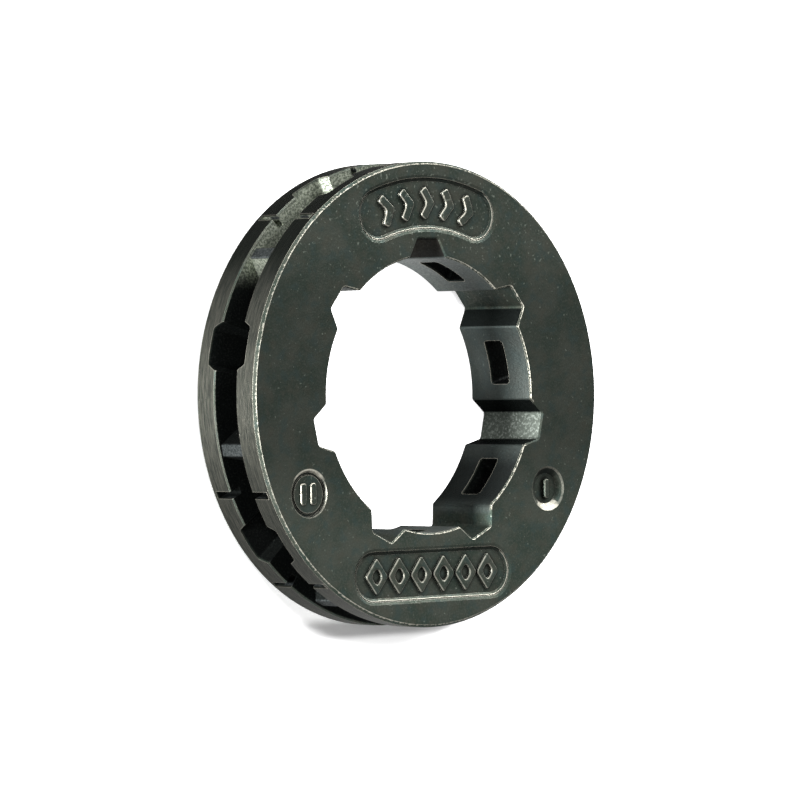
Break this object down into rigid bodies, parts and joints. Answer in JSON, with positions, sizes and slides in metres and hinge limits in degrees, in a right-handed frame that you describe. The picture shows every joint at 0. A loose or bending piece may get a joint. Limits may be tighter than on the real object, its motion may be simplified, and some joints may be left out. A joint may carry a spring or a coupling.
{
  "type": "chainsaw rim sprocket",
  "caption": "Cast steel rim sprocket with a splined bore; two smooth rims carry the chain's straps and posts in the groove between them drive its links.",
  "frame": {"origin": "middle of the back face, on the bore's axis", "axes": "+Z along the bore's axis, from the plain back face to the front face with the sunk panels; one bore spline points along +Y"},
  "size_m": [0.0374, 0.0374, 0.0071],
  "materials": {
    "cast_steel": "cast alloy steel with a dark olive-grey oxide finish and a fine grain, worn bright on its edges"
  },
  "bodies": {
    "root": {"rim_sprocket": "cast_steel"}
  },
  "joints": []
}
